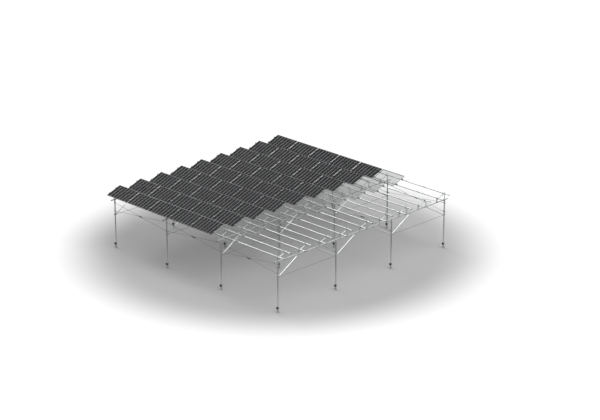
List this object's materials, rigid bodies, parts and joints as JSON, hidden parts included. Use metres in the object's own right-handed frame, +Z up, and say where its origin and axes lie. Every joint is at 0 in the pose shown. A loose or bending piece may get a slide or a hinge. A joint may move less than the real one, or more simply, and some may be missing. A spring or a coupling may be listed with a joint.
{
  "type": "agrivoltaic solar mounting structure",
  "caption": "Raised pipe frame canopy that carries tilted rows of solar panels over crops, with braced posts, bare purlins at one side and clear panels beside the dark ones.",
  "frame": {"origin": "on the ground, at the centre of the footprint", "axes": "+X along the rows towards the bare purlins, +Y up the panels' slope, +Z up"},
  "size_m": [13.506, 13.116, 3.3711],
  "materials": {
    "galvanised": "hot-dip galvanised, satin",
    "cast_fitting": "galvanised casting, rough",
    "black_plastic": "moulded, matt",
    "post_pipe": "galvanised pipe, satin",
    "beam_pipe": "galvanised pipe, satin",
    "purlin_pipe": "galvanised pipe, satin",
    "brace_tube": "galvanised tube, bright",
    "rod_steel": "galvanised rod",
    "black_steel": "blackened forging",
    "bolt_steel": "zinc plated",
    "black_frame": "black anodised",
    "plain_frame": "natural anodised",
    "panel_glass": "clear tempered glass",
    "solar_cell": "dark cells laminated under glass"
  },
  "bodies": {
    "root": {"ground_sleeves": "galvanised", "post_heads": "galvanised", "beam_straps": "galvanised", "knee_collars": "galvanised", "knee_hangers": "galvanised", "brace_collars": "galvanised", "front_legs": "galvanised", "rear_legs": "galvanised", "purlin_sleeves": "galvanised", "foot_hubs": "cast_fitting", "crossovers": "cast_fitting", "foot_caps": "black_plastic", "pipe_plugs": "black_plastic", "rail_caps": "black_plastic", "junction_boxes": "black_plastic", "posts_frame_1": "post_pipe", "posts_frame_2": "post_pipe", "posts_frame_3": "post_pipe", "posts_frame_4": "post_pipe", "main_beam_1": "beam_pipe", "main_beam_2": "beam_pipe", "main_beam_3": "beam_pipe", "main_beam_4": "beam_pipe", "bracket_rails": "beam_pipe", "purlins_row_1": "purlin_pipe", "purlins_row_2": "purlin_pipe", "purlins_row_3": "purlin_pipe", "purlins_row_4": "purlin_pipe", "purlins_row_5": "purlin_pipe", "purlins_row_6": "purlin_pipe", "purlins_row_7": "purlin_pipe", "purlins_row_8": "purlin_pipe", "purlins_row_9": "purlin_pipe", "knee_braces": "brace_tube", "tie_rods": "rod_steel", "cross_rods": "rod_steel", "turnbuckles": "black_steel", "pin_bolts": "bolt_steel", "module_frames_row_1": "black_frame", "module_frames_row_2": "black_frame", "module_frames_row_3": "black_frame", "module_frames_row_4": "black_frame", "module_frames_row_5": "black_frame", "module_frames_row_6": "black_frame", "module_frames_row_7": "black_frame", "module_frames_row_8": "black_frame", "module_frames_row_9": "black_frame", "clear_module_frames": "plain_frame", "module_clamps": "plain_frame", "glass_panes": "panel_glass", "cell_sheets_row_1": "solar_cell", "cell_sheets_row_2": "solar_cell", "cell_sheets_row_3": "solar_cell", "cell_sheets_row_4": "solar_cell", "cell_sheets_row_5": "solar_cell", "cell_sheets_row_6": "solar_cell", "cell_sheets_row_7": "solar_cell", "cell_sheets_row_8": "solar_cell", "cell_sheets_row_9": "solar_cell"}
  },
  "joints": []
}
